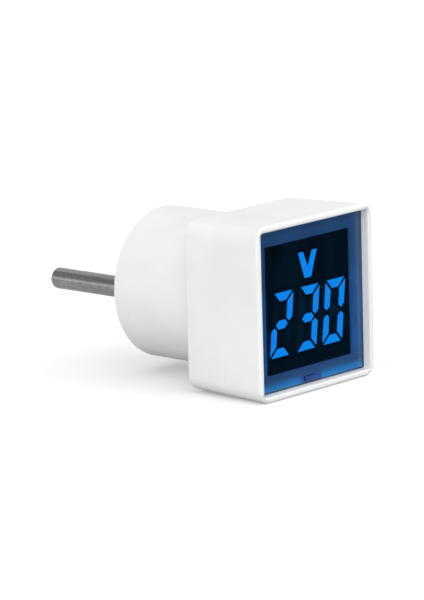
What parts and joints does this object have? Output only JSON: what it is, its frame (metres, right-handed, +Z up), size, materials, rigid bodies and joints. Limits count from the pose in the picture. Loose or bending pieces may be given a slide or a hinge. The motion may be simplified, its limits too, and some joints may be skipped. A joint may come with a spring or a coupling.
{
  "type": "outlet tester plug",
  "caption": "Plug-in outlet voltage tester: a square head with a recessed tinted window over a lit digital display, on a round plug body with round metal pins.",
  "frame": {"origin": "centre of the plug body's flat rear face, the face that lies on the socket", "axes": "+Y out of the rear face along the pins, so the display faces -Y; +Z up; +X to the right of somebody who reads the display"},
  "size_m": [0.0324, 0.0562, 0.0324],
  "materials": {
    "white_plastic": "fine satin moulded white",
    "blue_window": "polished blue tinted plastic window",
    "nickel_pin": "nickel-plated brass, fine drawn streaks",
    "screw_steel": "zinc-plated",
    "tinned_lead": "tinned wire",
    "display_black": "black face plate",
    "segment_blue": "lit blue light guide",
    "reflector_white": "matt white",
    "carrier_grey": "matt grey insulating plastic",
    "board_green": "green solder mask",
    "epoxy_black": "moulded black epoxy",
    "led_die": "clear resin over a chip",
    "resistor_tan": "lacquered",
    "diode_glass": "amber glass",
    "capacitor_yellow": "moulded yellow box",
    "capacitor_sleeve": "shrink sleeve",
    "wire_brown": "wire insulation",
    "wire_blue": "wire insulation"
  },
  "bodies": {
    "root": {"bleed_resistor": "resistor_tan", "board_header": "epoxy_black", "board_screw_1": "screw_steel", "board_screw_2": "screw_steel", "board_screw_3": "screw_steel", "board_screw_4": "screw_steel", "bridge_rectifier": "epoxy_black", "carrier_screw_1": "screw_steel", "carrier_screw_2": "screw_steel", "contact_pin_left": "nickel_pin", "contact_pin_right": "nickel_pin", "display_board": "board_green", "display_mask": "display_black", "display_reflector": "reflector_white", "electrolytic_capacitor": "capacitor_sleeve", "fusible_resistor": "resistor_tan", "head_shell": "white_plastic", "header_pin_1": "tinned_lead", "header_pin_2": "tinned_lead", "header_pin_3": "tinned_lead", "header_pin_4": "tinned_lead", "led_chip_hundreds_a": "led_die", "led_chip_hundreds_b": "led_die", "led_chip_hundreds_c": "led_die", "led_chip_hundreds_d": "led_die", "led_chip_hundreds_e": "led_die", "led_chip_hundreds_f": "led_die", "led_chip_hundreds_g": "led_die", "led_chip_ones_a": "led_die", "led_chip_ones_b": "led_die", "led_chip_ones_c": "led_die", "led_chip_ones_d": "led_die", "led_chip_ones_e": "led_die", "led_chip_ones_f": "led_die", "led_chip_ones_g": "led_die", "led_chip_tens_a": "led_die", "led_chip_tens_b": "led_die", "led_chip_tens_c": "led_die", "led_chip_tens_d": "led_die", "led_chip_tens_e": "led_die", "led_chip_tens_f": "led_die", "led_chip_tens_g": "led_die", "led_chip_unit": "led_die", "live_wire": "wire_brown", "microcontroller": "epoxy_black", "neutral_wire": "wire_blue", "pin_carrier": "carrier_grey", "power_board": "board_green", "rear_housing": "white_plastic", "segment_diffuser": "segment_blue", "voltage_regulator": "epoxy_black", "window_lens": "blue_window", "x2_capacitor": "capacitor_yellow", "zener_diode": "diode_glass"}
  },
  "joints": []
}
